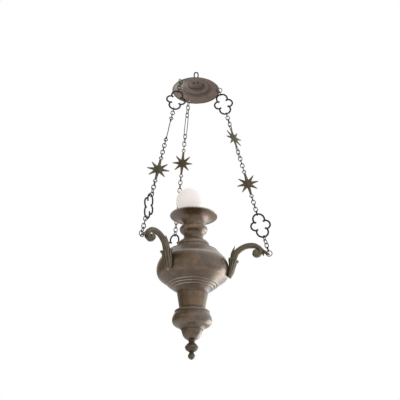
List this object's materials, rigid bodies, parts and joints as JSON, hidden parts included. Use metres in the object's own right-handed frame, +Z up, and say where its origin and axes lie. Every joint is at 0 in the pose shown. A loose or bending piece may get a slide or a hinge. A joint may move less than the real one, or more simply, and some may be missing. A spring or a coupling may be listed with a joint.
{
  "type": "hanging sanctuary lamp",
  "caption": "Turned bronze hanging lamp: a round canopy, ornamental chains of quatrefoils and stars, scrolled leaf arms on a baluster vessel, and an opal bulb in its cup.",
  "frame": {"origin": "inside top of the hanging loop, where the ceiling hook bears", "axes": "+Z up along the lamp's axis, +X to the right as pictured, -Y towards the viewer"},
  "size_m": [0.2827, 0.303, 0.715],
  "materials": {
    "vessel_metal": "dark patinated, turned, softly polished",
    "arm_metal": "dark olive patina, cast and chased",
    "chain_metal": "dark patinated wire",
    "canopy_metal": "purplish brown patina, spun sheet",
    "old_brass": "dull",
    "steel": "dull",
    "holder": "satin",
    "opal_glass": "satin opal"
  },
  "bodies": {
    "canopy": {"canopy_plate": "canopy_metal", "hanging_loop": "chain_metal"},
    "lamp": {"drip_cup": "vessel_metal", "upper_knop": "vessel_metal", "lower_knop": "vessel_metal", "bowl_cover": "vessel_metal", "bowl": "vessel_metal", "stem": "vessel_metal", "pendant_drop": "vessel_metal", "pendant_cone": "vessel_metal", "finial": "vessel_metal", "tie_rod": "steel", "rod_washer": "steel", "rod_nut": "steel", "lampholder": "holder", "lampholder_contact": "old_brass", "right_arm": "arm_metal", "left_arm": "arm_metal", "back_arm": "arm_metal", "arm_rivets": "old_brass"},
    "bulb": {"bulb_glass": "opal_glass", "bulb_cap": "old_brass"},
    "chain_right": {"right_chain_links": "chain_metal"},
    "right_upper_quatrefoil": {"right_upper_quatrefoil": "chain_metal"},
    "right_upper_star": {"right_upper_star": "chain_metal"},
    "right_lower_star": {"right_lower_star": "chain_metal"},
    "right_lower_quatrefoil": {"right_lower_quatrefoil": "chain_metal"},
    "chain_left": {"left_chain_links": "chain_metal"},
    "left_upper_quatrefoil": {"left_upper_quatrefoil": "chain_metal"},
    "left_wire_link": {"left_wire_link": "chain_metal"},
    "left_star": {"left_star": "chain_metal"},
    "left_lower_quatrefoil": {"left_lower_quatrefoil": "chain_metal"},
    "chain_back": {"back_chain_links": "chain_metal"},
    "back_wire_loop": {"back_wire_loop": "chain_metal"},
    "back_upper_star": {"back_upper_star": "chain_metal"},
    "back_lower_star": {"back_lower_star": "chain_metal"},
    "back_lower_quatrefoil": {"back_lower_quatrefoil": "chain_metal"}
  },
  "joints": [
    {"name": "suspension_twist", "type": "hinge", "parent": "canopy", "child": "lamp", "pos_m": [0, 0, -0.4865], "axis": [0, 0, 1], "range_deg": [-12, 12]},
    {"name": "right_chain_swing", "type": "hinge", "parent": "canopy", "child": "chain_right", "pos_m": [0.0559, -0.00885, -0.052], "axis": [0.1276, -0.0202, 0.9916], "range_deg": [-12.5, 12.5]},
    {"name": "right_upper_quatrefoil_turn", "type": "hinge", "parent": "chain_right", "child": "right_upper_quatrefoil", "pos_m": [0.06697, -0.01061, -0.0957], "axis": [0.2453, -0.0389, -0.9687], "range_deg": [-20, 20]},
    {"name": "right_upper_star_turn", "type": "hinge", "parent": "chain_right", "child": "right_upper_star", "pos_m": [0.0911, -0.01443, -0.19098], "axis": [0.2453, -0.0389, -0.9687], "range_deg": [-20, 20]},
    {"name": "right_lower_star_turn", "type": "hinge", "parent": "chain_right", "child": "right_lower_star", "pos_m": [0.12181, -0.01929, -0.31225], "axis": [0.2453, -0.0389, -0.9687], "range_deg": [-20, 20]},
    {"name": "right_lower_quatrefoil_turn", "type": "hinge", "parent": "chain_right", "child": "right_lower_quatrefoil", "pos_m": [0.14822, -0.02348, -0.41655], "axis": [0.2453, -0.0389, -0.9687], "range_deg": [-20, 20]},
    {"name": "left_chain_swing", "type": "hinge", "parent": "canopy", "child": "chain_left", "pos_m": [-0.03562, -0.04399, -0.052], "axis": [-0.0813, -0.1004, 0.9916], "range_deg": [-12.5, 12.5]},
    {"name": "left_upper_quatrefoil_turn", "type": "hinge", "parent": "chain_left", "child": "left_upper_quatrefoil", "pos_m": [-0.04578, -0.05653, -0.11496], "axis": [-0.1563, -0.193, -0.9687], "range_deg": [-20, 20]},
    {"name": "left_wire_link_turn", "type": "hinge", "parent": "chain_left", "child": "left_wire_link", "pos_m": [-0.06, -0.07409, -0.2031], "axis": [-0.1563, -0.193, -0.9687], "range_deg": [-20, 20]},
    {"name": "left_star_turn", "type": "hinge", "parent": "chain_left", "child": "left_star", "pos_m": [-0.07855, -0.097, -0.31804], "axis": [-0.1563, -0.193, -0.9687], "range_deg": [-20, 20]},
    {"name": "left_lower_quatrefoil_turn", "type": "hinge", "parent": "chain_left", "child": "left_lower_quatrefoil", "pos_m": [-0.09418, -0.1163, -0.41494], "axis": [-0.1563, -0.193, -0.9687], "range_deg": [-20, 20]},
    {"name": "back_chain_swing", "type": "hinge", "parent": "canopy", "child": "chain_back", "pos_m": [-0.01843, 0.05352, -0.052], "axis": [-0.0421, 0.1221, 0.9916], "range_deg": [-12.5, 12.5]},
    {"name": "back_wire_loop_turn", "type": "hinge", "parent": "chain_back", "child": "back_wire_loop", "pos_m": [-0.02339, 0.06793, -0.11144], "axis": [-0.0809, 0.2348, -0.9687], "range_deg": [-20, 20]},
    {"name": "back_upper_star_turn", "type": "hinge", "parent": "chain_back", "child": "back_upper_star", "pos_m": [-0.03118, 0.09055, -0.20475], "axis": [-0.0809, 0.2348, -0.9687], "range_deg": [-20, 20]},
    {"name": "back_lower_star_turn", "type": "hinge", "parent": "chain_back", "child": "back_lower_star", "pos_m": [-0.0399, 0.11589, -0.30928], "axis": [-0.0809, 0.2348, -0.9687], "range_deg": [-20, 20]},
    {"name": "back_lower_quatrefoil_turn", "type": "hinge", "parent": "chain_back", "child": "back_lower_quatrefoil", "pos_m": [-0.04797, 0.1393, -0.40588], "axis": [-0.0809, 0.2348, -0.9687], "range_deg": [-20, 20]},
    {"name": "bulb_draw", "type": "slide", "parent": "lamp", "child": "bulb", "axis": [-0.1392, 0, 0.9903], "range_m": [0, 0.034]}
  ],
  "couplings": [
    {"joint": "right_chain_swing", "follows": "suspension_twist", "ratio": 1.0084},
    {"joint": "left_chain_swing", "follows": "suspension_twist", "ratio": 1.0084},
    {"joint": "back_chain_swing", "follows": "suspension_twist", "ratio": 1.0084}
  ]
}
